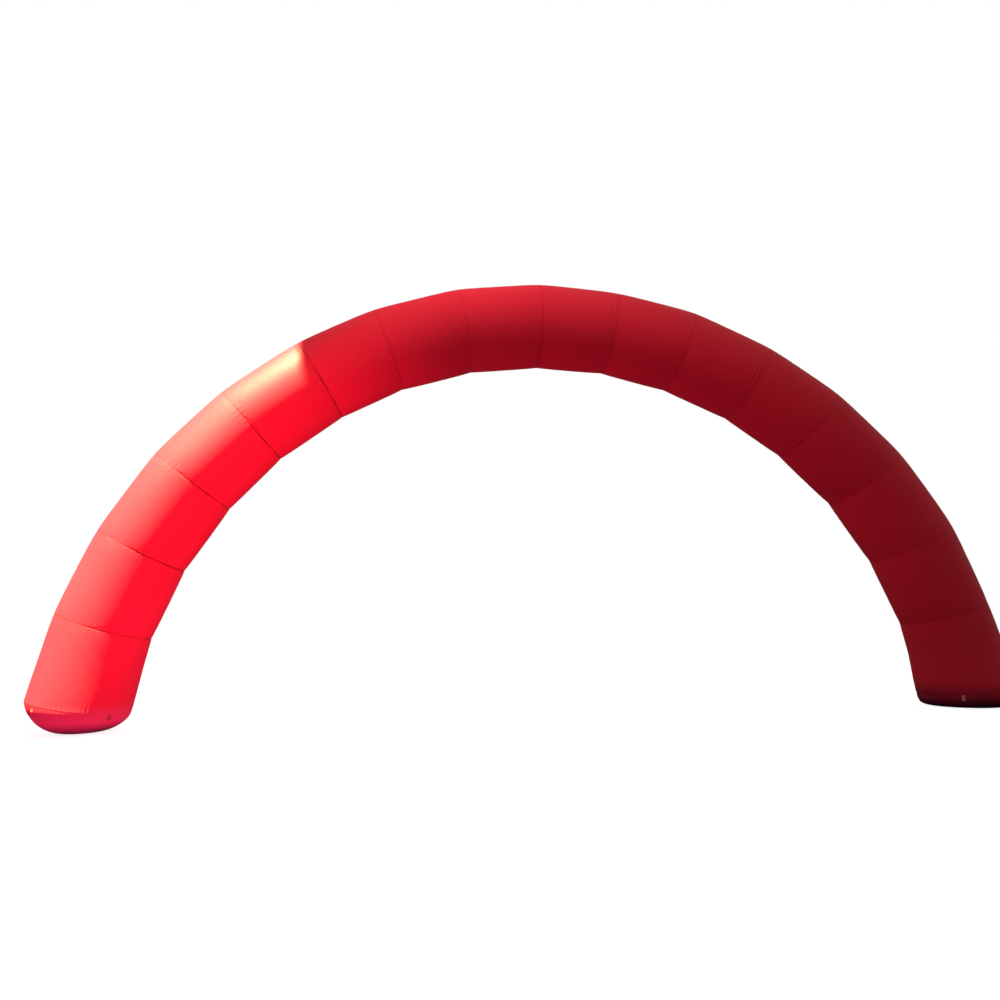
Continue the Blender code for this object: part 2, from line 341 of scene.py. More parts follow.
class ArchStageSettings(bpy.types.PropertyGroup):
    """Light and floor."""

    floor_size: FloatProperty(
        name="Floor", description="Side of the square floor", unit="LENGTH", default=160.0)
    key_power: FloatProperty(
        name="Key light", description="Power of the light from the upper left, in watts",
        default=1250000.0, min=0.0)
    fill_power: FloatProperty(
        name="Fill light", description="Power of the light inside the left leg, in watts",
        default=3400.0, min=0.0)
    top_power: FloatProperty(
        name="Top light", description="Power of the soft light overhead, in watts",
        default=2850.0, min=0.0)
    sky: FloatProperty(
        name="Sky", description="Brightness of the even light from all round", default=0.345,
        min=0.0)


def seam_centres():
    """Centre of the tube at each seam."""
    centres = []
    for number, seam in enumerate(SEAMS):
        angle = (number - RING_COUNT / 2) * SEAM_STEP + seam.shift / LINE_RADIUS
        reach = LINE_RADIUS + seam.rise
        centres.append(Vector((reach * sin(angle), 0.0, reach * cos(angle) - CENTRE_DROP)))
    return centres


def ring_leans(centres):
    """Angle of each ring's outer side from straight up, positive towards the right foot."""
    return [atan2(a.z - b.z, b.x - a.x) for a, b in zip(centres, centres[1:])]


def seam_leans(leans):
    """Angle of each seam plane: midway between its rings, and square to the arch at the feet."""
    end = RING_COUNT / 2 * SEAM_STEP
    middle = [(a + b) / 2 for a, b in zip(leans, leans[1:])]
    return [FEET[0].tilt - end] + middle + [end - FEET[1].tilt]


CENTRES = seam_centres()
RING_LEANS = ring_leans(CENTRES)
SEAM_LEANS = seam_leans(RING_LEANS)
RING_LENGTHS = [(b - a).length for a, b in zip(CENTRES, CENTRES[1:])]


def uneven_wave(bearing, seed, low, high):
    """A wave round the tube with low to high crests, about -1 to 1, that closes on itself."""
    draw = np.random.default_rng(seed)
    wave = np.zeros_like(bearing)
    total = 0.0
    for crests in range(low, high + 1):
        size = draw.normal()
        turn = draw.uniform(0.0, tau)
        wave += size * np.cos(crests * bearing + turn)
        total += size * size
    return wave / np.sqrt(2.0 * total)


def around_tube(centre, lean, ring_lean, bearing, radius):
    """Points on slanting sections of the tube, at these bearings and radii."""
    slant = np.cos(lean - ring_lean)
    out = np.stack([np.sin(lean) / slant, np.zeros_like(slant), np.cos(lean) / slant], axis=-1)
    front = np.array((0.0, -1.0, 0.0))
    return (centre + out * (np.cos(bearing) * radius)[..., None]
            + front * (np.sin(bearing) * radius)[..., None])


def foot_spread(number, share):
    """How much wider the tube is here because a foot just below carries the arch."""
    spread = 0.0
    for foot in FEET:
        rings_away = np.abs(number + share - foot.seam)
        near = np.clip(1.0 - rings_away * RING_LENGTHS[number] / SPREAD_REACH, 0.0, None)
        spread = spread + foot.spread * near ** 2 * (3.0 - 2.0 * near)
    return spread


def smooth_step(value, low, high):
    """From 0 at low to 1 at high, with soft ends."""
    share = np.clip((value - low) / (high - low), 0.0, 1.0)
    return share * share * (3.0 - 2.0 * share)


def crease_share(cloth, seam, bearing, crown=CREASE_CROWN):
    """Depth of a seam's crease as a share: broken, and shallow over the tube's outer side."""
    seed = cloth.seed + 100 * seam
    side = smooth_step(np.abs(bearing), *CROWN_EDGES)
    share = crown + (1.0 - crown) * side
    broken = 1.0 + 0.55 * uneven_wave(bearing, seed + 1, 2, 11)
    return CREASES[seam] * share * np.clip(broken, 0.15, 1.7)


def seam_pull(cloth, seam, away, bearing):
    """How far a seam draws the cloth in, at this distance away from it."""
    if seam in (0, RING_COUNT):
        wide = PULL_FOOT * np.exp(-away / PULL_FOOT_REACH)
    else:
        crown = np.clip(np.cos(bearing), 0.0, None)
        wide = (PULL_ALL_ROUND + PULL_CROWN * crown) * np.exp(-away / PULL_REACH)
    crease = cloth.crease_depth * crease_share(cloth, seam, bearing) * np.exp(-away / CREASE_REACH)
    return wide + crease - SWELL * (1.0 - np.exp(-away / 0.2))


def gathers(cloth, seam, away, bearing):
    """Height of the puckers that stand square to a seam."""
    seed = cloth.seed + 100 * seam
    foot = seam in (0, RING_COUNT)
    pucker = uneven_wave(bearing, seed + 2, *(FOOT_GATHERS if foot else GATHERS))
    length = FOOT_GATHER_LENGTH if foot else cloth.gather_length
    length = length * np.clip(1.0 + 0.6 * uneven_wave(bearing, seed + 3, 5, 14), 0.4, None)
    strength = 1.0 + 0.6 * uneven_wave(bearing, seed + 4, 2, 8) - 0.35 * np.cos(bearing)
    depth = FOOT_GATHER_DEPTH if foot else cloth.gather_depth * (0.3 + 0.7 * CREASES[seam])
    rise = away / length
    return depth * np.clip(strength, 0.1, None) * pucker * rise * np.exp(1.0 - rise)


def ripples(seam, side, away, bearing):
    """Height of the slack ripples that lie along one side of a seam."""
    height = np.zeros_like(bearing)
    for ripple in RIPPLES:
        if ripple.seam != seam or ripple.side != side:
            continue
        middle = (ripple.first + ripple.last) / 2
        half = (ripple.last - ripple.first) / 2
        off = np.angle(np.exp(1j * (bearing - middle))) / half
        stretch = np.clip(1.0 - off ** 2, 0.0, None) ** 1.2
        reach = ripple.count * ripple.pitch
        inside = np.clip((away - 0.02) / 0.02, 0.0, 1.0)
        inside = inside * np.clip((reach + 0.045 - away) / 0.04, 0.0, 1.0)
        bent = away - 0.02 + 0.010 * np.sin(4.0 * bearing + seam)
        height -= ripple.depth * stretch * inside * np.cos(tau * bent / ripple.pitch)
    return height


def folds(seam, side, away, bearing):
    """Height of single folds that start at a seam: a soft ridge beside a groove."""
    height = np.zeros_like(bearing)
    for fold in FOLDS:
        if fold.seam != seam or fold.side != side:
            continue
        line = fold.bearing + fold.slant * away
        off = np.angle(np.exp(1j * (bearing - line))) * TUBE_RADIUS / FOLD_WIDTH
        share = away / fold.length
        fade = np.clip(1.0 - share, 0.0, None) ** 1.5 * np.clip(away / 0.006, 0.0, 1.0)
        height += fold.depth * fade * (0.3 * np.exp(-(off - 1.1) ** 2) - np.exp(-off ** 2))
    return height


def ring_places(cloth, number, away, bearing, lift=0.0):
    """Points on a ring's cloth. Away is the distance from the ring's first seam."""
    length = RING_LENGTHS[number]
    share = away / length
    first, last = np.array(CENTRES[number]), np.array(CENTRES[number + 1])
    centre = first + (last - first) * share[..., None]
    lean = SEAM_LEANS[number] + (SEAM_LEANS[number + 1] - SEAM_LEANS[number]) * share
    girth = SEAMS[number].girth * (1.0 - share) + SEAMS[number + 1].girth * share
    radius = TUBE_RADIUS + girth + foot_spread(number, share) + lift
    to_last = length - away
    seed = cloth.seed + 1000 + 10 * number
    slack = 4.0 * share * (1.0 - share)
    radius = radius + cloth.unevenness * slack * uneven_wave(bearing, seed, 2, 6)
    radius = radius + 0.3 * cloth.unevenness * slack * uneven_wave(bearing + 2.0 * share, seed + 1, 9, 22)
    for seam, side, near in ((number, 1, away), (number + 1, -1, to_last)):
        near = np.clip(near, 0.0, None)
        radius = radius - seam_pull(cloth, seam, near, bearing)
        radius = radius + gathers(cloth, seam, near, bearing) + folds(seam, side, near, bearing)
        radius = radius + ripples(seam, side, near, bearing)
    if number:
        radius = radius + FELL_HEIGHT * np.clip((FELL_WIDTH - away) / 0.008, 0.0, 1.0)
    return around_tube(centre, lean, RING_LEANS[number], bearing, radius)


def foot_sign(foot):
    """Which way the foot's outer side looks along X."""
    return 1.0 if foot.seam else -1.0


def foot_radius(cloth, foot, angle, bearing):
    """Radius of the foot's skin, before it is drawn in to its base."""
    away = angle * TUBE_RADIUS
    pull = PULL_FOOT * np.exp(-(angle / CAP_FULL_ANGLE) ** 2)
    share = crease_share(cloth, foot.seam, bearing)
    crease = cloth.crease_depth * share * np.exp(-away / CREASE_REACH)
    fade = np.exp(-((angle - radians(20)) / radians(24)) ** 2) * np.clip(angle / radians(8), 0.0, 1.0)
    settled = smooth_step(angle, radians(10), radians(50))
    even = CAP_GATHER_DEPTH * fade * settled * np.cos(CAP_GATHER_COUNT * bearing)
    fine = gathers(cloth, foot.seam, away, bearing)
    seed = cloth.seed + 2000 + foot.seam
    soft = 0.006 * settled * uneven_wave(bearing + angle, seed, 5, 17) * np.sin(2.0 * angle)
    return TUBE_RADIUS + foot.spread - pull - crease + even + fine + soft


def foot_places(cloth, foot, angle, bearing, lift=0.0):
    """Points on a foot's skin. Angle runs from 0 at the seam to a right angle at the base."""
    sign = foot_sign(foot)
    lean = SEAM_LEANS[foot.seam]
    ring_lean = RING_LEANS[foot.seam - 1 if foot.seam else 0]
    down_tube = np.array((cos(lean), 0.0, -sin(lean))) * sign
    centre = np.array(CENTRES[foot.seam]) + down_tube * SEAM_GAP / 2
    radius = foot_radius(cloth, foot, angle, bearing) + lift
    leans = np.full_like(bearing, lean)
    top = around_tube(centre, leans, ring_lean, bearing, radius)
    base = np.stack([
        CENTRES[foot.seam].x + sign * (foot.contact_shift + foot.contact_radius * np.cos(bearing)),
        -foot.contact_radius * np.sin(bearing), np.zeros_like(bearing)], axis=-1)
    inwards = (1.0 - np.cos(angle))[..., None]
    places = top + (base - top) * inwards
    places[..., 2] = top[..., 2] * (1.0 - np.sin(angle) ** foot.fullness)
    return places


def straight_tube(around, loops):
    """A tube of radius 1, open at both ends, with a loop of vertices at each whole height."""
    shape = bmesh.new()
    bmesh.ops.create_circle(shape, cap_ends=False, radius=1.0, segments=around)
    edges = list(shape.edges)
    for _ in range(loops - 1):
        grown = bmesh.ops.extrude_edge_only(shape, edges=edges)["geom"]
        verts = {item for item in grown if isinstance(item, bmesh.types.BMVert)}
        bmesh.ops.translate(shape, vec=(0.0, 0.0, 1.0), verts=list(verts))
        edges = [item for item in grown if isinstance(item, bmesh.types.BMEdge)]
        edges = [edge for edge in edges if edge.verts[0] in verts and edge.verts[1] in verts]
    return shape


def flat_mesh(name, shape):
    """Mesh of a bmesh whose faces all look one way."""
    bmesh.ops.recalc_face_normals(shape, faces=shape.faces)
    mesh = bpy.data.meshes.new(name)
    shape.to_mesh(mesh)
    shape.free()
    return mesh


def vertex_places(mesh):
    """Every vertex's place as an array."""
    places = np.empty(len(mesh.vertices) * 3, dtype=np.float32)
    mesh.vertices.foreach_get("co", places)
    return places.reshape(-1, 3)


def face_outwards(mesh, middle):
    """Turn the faces of an open tube or bowl to look away from its middle."""
    normals = np.empty(len(mesh.polygons) * 3, dtype=np.float32)
    centres = np.empty(len(mesh.polygons) * 3, dtype=np.float32)
    mesh.polygons.foreach_get("normal", normals)
    mesh.polygons.foreach_get("center", centres)
    if np.sum(normals.reshape(-1, 3) * (centres.reshape(-1, 3) - np.array(middle))) < 0.0:
        mesh.flip_normals()


def shaped_copy(name, base, places, material):
    """Object with a copy of the base mesh, its vertices moved to these places."""
    mesh = base.copy()
    mesh.name = name
    mesh.vertices.foreach_set("co", places.astype(np.float32).ravel())
    mesh.update()
    mesh.shade_smooth()
    mesh.materials.append(material)
    piece = bpy.data.objects.new(name, mesh)
    bpy.context.scene.collection.objects.link(piece)
    return piece


def set_attribute(mesh, name, values):
    """Store a number on each vertex, for a material to read."""
    attribute = mesh.attributes.new(name, "FLOAT", "POINT")
    attribute.data.foreach_set("value", np.asarray(values, dtype=np.float32))


def set_cloth_map(mesh, round_share, down):
    """UV map in metres: round the tube as a share of a full turn times its girth, and down."""
    corners = np.empty(len(mesh.loops), dtype=np.int32)
    mesh.loops.foreach_get("vertex_index", corners)
    starts = np.empty(len(mesh.polygons), dtype=np.int32)
    mesh.polygons.foreach_get("loop_start", starts)
    turn = round_share[corners]
    face_of = np.repeat(np.arange(len(starts)), np.diff(np.append(starts, len(corners))))
    highest = np.zeros(len(starts))
    np.maximum.at(highest, face_of, turn)
    turn = np.where(highest[face_of] - turn > 0.5, turn + 1.0, turn)
    uv = np.stack([turn * TUBE_RADIUS * tau, down[corners]], axis=-1)
    layer = mesh.uv_layers.new(name="cloth")
    layer.data.foreach_set("uv", uv.astype(np.float32).ravel())


def mesh_object(name, shape, material):
    """Make a smooth-shaded object of a bmesh."""
    mesh = bpy.data.meshes.new(name)
    shape.to_mesh(mesh)
    shape.free()
    mesh.shade_smooth()
    mesh.materials.append(material)
    piece = bpy.data.objects.new(name, mesh)
    bpy.context.scene.collection.objects.link(piece)
    return piece


def ring_loops(number):
    """Distance of each loop of a ring from its first seam, and how deep in the allowance it is."""
    length = RING_LENGTHS[number]
    start = [SEAM_GAP / 2 + distance for distance in LOOP_DISTANCES]
    end = [length - distance for distance in reversed(start)]
    distances = [start[0]] + start + [length / 2] + end + [end[-1]]
    sunk = [ALLOWANCE] + [0.0] * (len(distances) - 2) + [ALLOWANCE]
    return np.array(distances), np.array(sunk)


def ground_shade_and_dirt(places):
    """Painted contact shadow and dirt near the ground, darker towards the ground: a thin rim at the
    left foot, and a deep dark one at the right foot."""
    right = places[:, 0] > 0.0
    reach = np.where(right, GROUND_SHADE_AND_DIRT_RIGHT, GROUND_SHADE_AND_DIRT_LEFT)
    return np.clip(1.0 - places[:, 2] / reach, 0.0, 1.0) ** np.where(right, 0.90, 1.0)


def ground_bounce_tint(places):
    """Painted pink tint of light thrown up by the floor, near the ground: only on the left foot, most at its
    bottom.
    """
    low = 1.0 - smooth_step(places[:, 2], 0.5 * GROUND_BOUNCE_TINT_HEIGHT, GROUND_BOUNCE_TINT_HEIGHT)
    return np.where(places[:, 0] > 0.0, 0.0, 0.60 * low)


def sew_ring(cloth, number, base, material):
    """One ring of cloth between two seams."""
    distances, sunk = ring_loops(number)
    flat = vertex_places(base)
    loop = np.rint(flat[:, 2]).astype(int)
    bearing = np.arctan2(flat[:, 1], flat[:, 0])
    places = ring_places(cloth, number, distances[loop], bearing, -sunk[loop])
    piece = shaped_copy(f"cloth_ring_{number + 1:02d}", base, places, material)
    face_outwards(piece.data, (CENTRES[number] + CENTRES[number + 1]) / 2)
    # Seam dust and painted crease shade beside both seams
    first = crease_share(cloth, number, bearing, SEAM_DUST_AND_SHADE_CROWN) * np.exp(-distances[loop] / SEAM_DUST_AND_SHADE_REACH)
    to_last = RING_LENGTHS[number] - distances[loop]
    last = crease_share(cloth, number + 1, bearing, SEAM_DUST_AND_SHADE_CROWN) * np.exp(-to_last / SEAM_DUST_AND_SHADE_REACH)
    set_attribute(piece.data, "crease_dust_and_shade", first + last)
    # Painted contact shadow and dirt near the ground
    set_attribute(piece.data, "ground_shade_and_dirt", ground_shade_and_dirt(places))
    # Painted floor bounce light low on the left foot
    set_attribute(piece.data, "ground_bounce_tint", ground_bounce_tint(places))
    dye = np.random.default_rng(cloth.seed + 300 + number).uniform(-1.0, 1.0)
    set_attribute(piece.data, "dye_lot", np.full(len(loop), dye))
    set_cloth_map(piece.data, bearing / tau + 0.5, distances[loop])
    return piece


def foot_loops():
    """Angle of each loop of a foot, how deep in the allowance it is, and its share of the base."""
    angles = [CAP_ANGLES[0], *CAP_ANGLES] + [CAP_ANGLES[-1]] * (CAP_BASE_RINGS - 1)
    sunk = [ALLOWANCE] + [0.0] * (len(angles) - 1)
    shrunk = [1.0] * (len(CAP_ANGLES) + 1)
    shrunk += [1.0 - number / CAP_BASE_RINGS for number in range(1, CAP_BASE_RINGS)]
    return np.radians(angles), np.array(sunk), np.array(shrunk)


def sew_foot(cloth, foot, material):
    """One foot: a round bowl of cloth gathered into the tube's last seam."""
    angles, sunk, shrunk = foot_loops()
    shape = straight_tube(AROUND, len(angles))
    lowest = [edge for edge in shape.edges if edge.is_boundary and edge.verts[0].co.z > 1.0]
    bmesh.ops.contextual_create(shape, geom=lowest)
    base = flat_mesh("foot", shape)
    flat = vertex_places(base)
    loop = np.rint(flat[:, 2]).astype(int)
    bearing = np.arctan2(flat[:, 1], flat[:, 0])
    places = foot_places(cloth, foot, angles[loop], bearing, -sunk[loop])
    middle = np.array((CENTRES[foot.seam].x + foot_sign(foot) * foot.contact_shift, 0.0, 0.0))
    places = middle + (places - middle) * shrunk[loop][:, None]
    piece = shaped_copy(f"cloth_foot_{foot.side}", base, places, material)
    bpy.data.meshes.remove(base)
    face_outwards(piece.data, CENTRES[foot.seam])
    down = angles * 0.55
    # Seam dust and painted crease shade beside the foot's seam
    share = crease_share(cloth, foot.seam, bearing)
    set_attribute(piece.data, "crease_dust_and_shade", share * np.exp(-down[loop] / SEAM_DUST_AND_SHADE_REACH))
    # Painted contact shadow and dirt near the ground
    set_attribute(piece.data, "ground_shade_and_dirt", ground_shade_and_dirt(places))
    # Painted floor bounce light low on the left foot
    set_attribute(piece.data, "ground_bounce_tint", ground_bounce_tint(places))
    set_attribute(piece.data, "dye_lot", np.full(len(loop), -0.4))
    set_cloth_map(piece.data, bearing / tau + 0.5, -down[loop])
    return piece


def thread_rows():
    """Rows of thread side by side, each a closed ring with three sides. A vertex's height is its
    row times 3 and the number of its side."""
    joined = bmesh.new()
    for row in range(len(THREAD_ROWS)):
        shape = straight_tube(2 * STITCHES_ROUND, 3)
        rims = [edge for edge in shape.edges if edge.is_boundary]
        bmesh.ops.bridge_loops(shape, edges=rims)
        bmesh.ops.translate(shape, vec=(0.0, 0.0, 3.0 * row), verts=shape.verts)
        mesh = flat_mesh("row", shape)
        joined.from_mesh(mesh)
        bpy.data.meshes.remove(mesh)
    return flat_mesh("rows", joined)


def sew_thread(cloth, seam, base, material):
    """Two rows of stitches round a seam: thread that dips into the cloth and comes out again."""
    flat = vertex_places(base)
    height = np.rint(flat[:, 2]).astype(int)
    bearing = np.arctan2(flat[:, 1], flat[:, 0])
    step = np.rint(bearing / (tau / (2 * STITCHES_ROUND))).astype(int)
    side = (height % 3) * tau / 3
    out = np.where(step % 2, 1.0, -1.0)
    rise = THREAD_RADIUS * (np.cos(side) + 0.9 * out + 0.2)
    across = np.array(THREAD_ROWS)[height // 3] + THREAD_RADIUS * np.sin(side)
    places = ring_places(cloth, seam, across, bearing, rise)
    piece = shaped_copy(f"seam_thread_{seam:02d}", base, places, material)
    shape = bmesh.new()
    shape.from_mesh(piece.data)
    bmesh.ops.recalc_face_normals(shape, faces=shape.faces)
    shape.to_mesh(piece.data)
    shape.free()
    return piece


def tab_matrix(cloth, tab):
    """Place of a tab: its width along the seam, its back to the foot, hanging straight down."""
    foot = next(foot for foot in FEET if foot.side == tab.foot)
    node = f"tether_tab_{tab.foot}_{tab.place}"
    lowest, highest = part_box(node)
    middle = (lowest + highest) / 2
    sign = foot_sign(foot)
    spoke = Vector((sign * cos(tab.bearing), -sin(tab.bearing), 0.0))
    up = Vector((0.0, 0.0, 1.0))
    turned = Matrix((spoke.cross(up), spoke, up)).transposed().to_4x4()
    return Matrix.Translation(middle) @ turned


def tab_profile(layer):
    """Centre line of the folded strip, as depth and height: down the back, round, up the front."""
    half_gap = TAB_THICKNESS / 2 - layer / 2
    top = TAB_LENGTH / 2
    bottom = -TAB_LENGTH / 2 + half_gap + layer / 2
    down = [(-half_gap, top + (bottom - top) * step / 8) for step in range(8)]
    turns = [pi + pi * step / 8 for step in range(9)]
    fold = [(half_gap * cos(turn), bottom + half_gap * sin(turn)) for turn in turns]
    up = [(half_gap, bottom + (top - bottom) * step / 8) for step in range(1, 9)]
    return down + fold + up


def sew_tab(cloth, tabs, tab, material):
    """One tab: a strip of webbing folded double, a little fuller where it isn't sewn down."""
    profile = tab_profile(tabs.layer)
    columns = 12
    shape = bmesh.new()
    verts = [shape.verts.new((-TAB_WIDTH / 2, depth, height)) for depth, height in profile]
    edges = [shape.edges.new(pair) for pair in zip(verts, verts[1:])]
    for _ in range(columns):
        grown = bmesh.ops.extrude_edge_only(shape, edges=edges)["geom"]
        moved = {item for item in grown if isinstance(item, bmesh.types.BMVert)}
        bmesh.ops.translate(shape, vec=(TAB_WIDTH / columns, 0.0, 0.0), verts=list(moved))
        edges = [item for item in grown if isinstance(item, bmesh.types.BMEdge)]
        edges = [edge for edge in edges if edge.verts[0] in moved and edge.verts[1] in moved]
    bmesh.ops.recalc_face_normals(shape, faces=shape.faces)
    front = [face for face in shape.faces if face.calc_center_median().y > 0.0]
    if sum(face.normal.y for face in front) < 0.0:
        bmesh.ops.reverse_faces(shape, faces=shape.faces)
    for vert in shape.verts:
        loose = max(0.0, -vert.co.z / TAB_LENGTH + 0.2)
        vert.co.y += 0.0012 * loose * (1.0 if vert.co.y > 0.0 else 0.0) * cos(vert.co.x * pi / TAB_WIDTH)
        vert.co.z += 0.0010 * sin(vert.co.x * 190.0)
    places = np.array([vert.co for vert in shape.verts])
    run = np.array([vert.co.z if vert.co.y > 0.0 else -TAB_LENGTH - vert.co.z for vert in shape.verts])
    bmesh.ops.transform(shape, matrix=tab_matrix(cloth, tab), verts=shape.verts)
    piece = mesh_object(f"webbing_tab_{tab.foot}_{tab.place}", shape, material)
    layer = piece.data.uv_layers.new(name="webbing")
    corners = np.empty(len(piece.data.loops), dtype=np.int32)
    piece.data.loops.foreach_get("vertex_index", corners)
    uv = np.stack([places[corners, 0], run[corners]], axis=-1)
    layer.data.foreach_set("uv", uv.astype(np.float32).ravel())
    set_attribute(piece.data, "dirt", np.full(len(piece.data.vertices), tab.dirt))
    wall = piece.modifiers.new("webbing", "SOLIDIFY")
    wall.thickness = tabs.layer
    wall.offset = 0.0
    wall.use_even_offset = True
    return piece


def tab_stitches(cloth, tab, material):
    """The square of stitches with a cross in it that holds a tab."""
    top = TAB_LENGTH / 2 - 0.006
    side = TAB_WIDTH / 2 - 0.006
    low = top - 2 * side
    corners = [(-side, top), (side, top), (side, low), (-side, low)]
    runs = list(zip(corners, corners[1:] + corners[:1])) + [(corners[0], corners[2]), (corners[1], corners[3])]
    shape = bmesh.new()
    pitch = 0.0045
    for (x, z), (far_x, far_z) in runs:
        reach = Vector((far_x - x, 0.0, far_z - z))
        count = round(reach.length / pitch)
        turn = Matrix.Rotation(-atan2(reach.z, reach.x), 4, "Y")
        for number in range(count):
            middle = Vector((x, TAB_THICKNESS / 2 + 0.0003, z)) + reach * (number + 0.5) / count
            made = bmesh.ops.create_cone(shape, cap_ends=True, segments=6, radius1=0.00045,
                                         radius2=0.00045, depth=pitch * 0.72)
            verts = made["verts"]
            lie = Matrix.Translation(middle) @ turn @ Matrix.Rotation(pi / 2, 4, "Y")
            bmesh.ops.transform(shape, matrix=lie, verts=verts)
    bmesh.ops.transform(shape, matrix=tab_matrix(cloth, tab), verts=shape.verts)
    return mesh_object(f"tab_thread_{tab.foot}_{tab.place}", shape, material)


def add_node(tree, kind, settings=None, values=None, links=None):
    """Add a node to a tree, with its settings, its sockets' values and the links into it."""
    node = tree.nodes.new(kind)
    for name, value in (settings or {}).items():
        setattr(node, name, value)
    for socket, value in (values or {}).items():
        node.inputs[socket].default_value = value
    for socket, source in (links or {}).items():
        tree.links.new(source, node.inputs[socket])
    return node


POLYESTER_IOR = 1.57


def new_material(name, roughness, specular, sheen=0.0):
    """A material with a Principled shader, and its tree and shader."""
    material = bpy.data.materials.new(name)
    material.use_nodes = True
    shader = material.node_tree.nodes["Principled BSDF"]
    shader.inputs["Metallic"].default_value = 0.0
    shader.inputs["Roughness"].default_value = roughness
    shader.inputs["IOR"].default_value = POLYESTER_IOR
    shader.inputs["Specular IOR Level"].default_value = specular
    shader.inputs["Sheen Weight"].default_value = sheen
    return material, material.node_tree, shader


def coated_polyester_cloth(cloth):
    """Coated polyester cloth, woven of bright filament yarn: a deep even red with a satin gloss,
    faint lines where yarns are thicker, soft crumples from packing, dust and painted shade in its
    seams, painted contact shadow and dirt near the ground, and a painted pink tint of floor bounce
    light low on the left foot."""
    yarn_drawn = 3.0 * MILLIMETRE
    yarn_height = 0.05 * MILLIMETRE
    slub_width = 16.0 * MILLIMETRE
    slub_length = 900.0 * MILLIMETRE
    crumple = 55.0 * MILLIMETRE
    fade_patch = 1.1
    material, tree, shader = new_material("coated_polyester_cloth", 0.56, 0.16)
    places = add_node(tree, "ShaderNodeTexCoord")
    cloth_map = add_node(tree, "ShaderNodeUVMap", {"uv_map": "cloth"})
    seam = add_node(tree, "ShaderNodeAttribute", {"attribute_name": "crease_dust_and_shade"})
    ground = add_node(tree, "ShaderNodeAttribute", {"attribute_name": "ground_shade_and_dirt"})
    # Painted floor bounce light near the ground
    dust = add_node(tree, "ShaderNodeAttribute", {"attribute_name": "ground_bounce_tint"})
    dye = add_node(tree, "ShaderNodeAttribute", {"attribute_name": "dye_lot"})

    patches = add_node(tree, "ShaderNodeTexNoise", values={"Scale": 1.0 / fade_patch, "Detail": 4.0,
                                                           "Roughness": 0.55},
                       links={"Vector": places.outputs["Object"]})
    fade = add_node(tree, "ShaderNodeMapRange", values={1: 0.35, 2: 0.75, 3: 0.0, 4: 0.55},
                    links={0: patches.outputs["Fac"]})
    dyed = add_node(tree, "ShaderNodeMix", {"data_type": "RGBA"},
                    {"A": opaque(cloth.cloth_colour), "B": opaque(cloth.faded_colour)},
                    {"Factor": fade.outputs["Result"]})

    lines = []
    for across, along in ((slub_width, slub_length), (slub_length, slub_width)):
        stretched = add_node(tree, "ShaderNodeMapping",
                             values={"Scale": (1.0 / across, 1.0 / along, 1.0)},
                             links={"Vector": cloth_map.outputs["UV"]})
        lines.append(add_node(tree, "ShaderNodeTexNoise", values={"Scale": 1.0, "Detail": 2.0},
                              links={"Vector": stretched.outputs["Vector"]}))
    slubs = add_node(tree, "ShaderNodeMath", {"operation": "ADD"},
                     links={0: lines[0].outputs["Fac"], 1: lines[1].outputs["Fac"]})
    tone = add_node(tree, "ShaderNodeMapRange", values={1: 0.6, 2: 1.4, 3: 0.965, 4: 1.035},
                    links={0: slubs.outputs["Value"]})
    lot = add_node(tree, "ShaderNodeMath", {"operation": "MULTIPLY_ADD"}, {1: 0.035, 2: 0.0},
                   {0: dye.outputs["Fac"]})
    shade = add_node(tree, "ShaderNodeMath", {"operation": "ADD"},
                     links={0: tone.outputs["Result"], 1: lot.outputs["Value"]})
    toned = add_node(tree, "ShaderNodeVectorMath", {"operation": "SCALE"},
                     links={0: dyed.outputs["Result"], "Scale": shade.outputs["Value"]})

    mottle = add_node(tree, "ShaderNodeTexNoise", values={"Scale": 7.0, "Detail": 5.0},
                      links={"Vector": places.outputs["Object"]})
    # Seam dust and painted crease shade: the colour darkens along each seam
    crease_darkening = add_node(tree, "ShaderNodeMath", {"operation": "MULTIPLY"}, {1: 0.80},
                     {0: seam.outputs["Fac"]})
    crease_darkened = add_node(tree, "ShaderNodeMix", {"data_type": "RGBA"},
                      {"B": opaque(cloth.seam_dust_and_shade_colour)},
                      {"Factor": crease_darkening.outputs["Value"], "A": toned.outputs["Vector"]})
    patchy = add_node(tree, "ShaderNodeMapRange", values={1: 0.3, 2: 0.7, 3: 0.90, 4: 1.08},
                      links={0: mottle.outputs["Fac"]})
    # Painted floor bounce light: a pink tint low on the left foot
    bounce_share = add_node(tree, "ShaderNodeMath", {"operation": "MULTIPLY"},
                   links={0: dust.outputs["Fac"], 1: patchy.outputs["Result"]})
    bounce_tinted = add_node(tree, "ShaderNodeMix", {"data_type": "RGBA"},
                        {"B": opaque(cloth.bounce_tint_colour)},
                        {"Factor": bounce_share.outputs["Value"], "A": crease_darkened.outputs["Result"]})
    # Painted contact shadow and dirt: the colour darkens towards the ground
    ground_darkening = add_node(tree, "ShaderNodeMath", {"operation": "MULTIPLY", "use_clamp": True},
                    links={0: ground.outputs["Fac"], 1: patchy.outputs["Result"]})
    ground_darkened = add_node(tree, "ShaderNodeMix", {"data_type": "RGBA"},
                      {"B": opaque(cloth.ground_shade_and_dirt_colour)},
                      {"Factor": ground_darkening.outputs["Value"], "A": bounce_tinted.outputs["Result"]})
    tree.links.new(ground_darkened.outputs["Result"], shader.inputs["Base Color"])

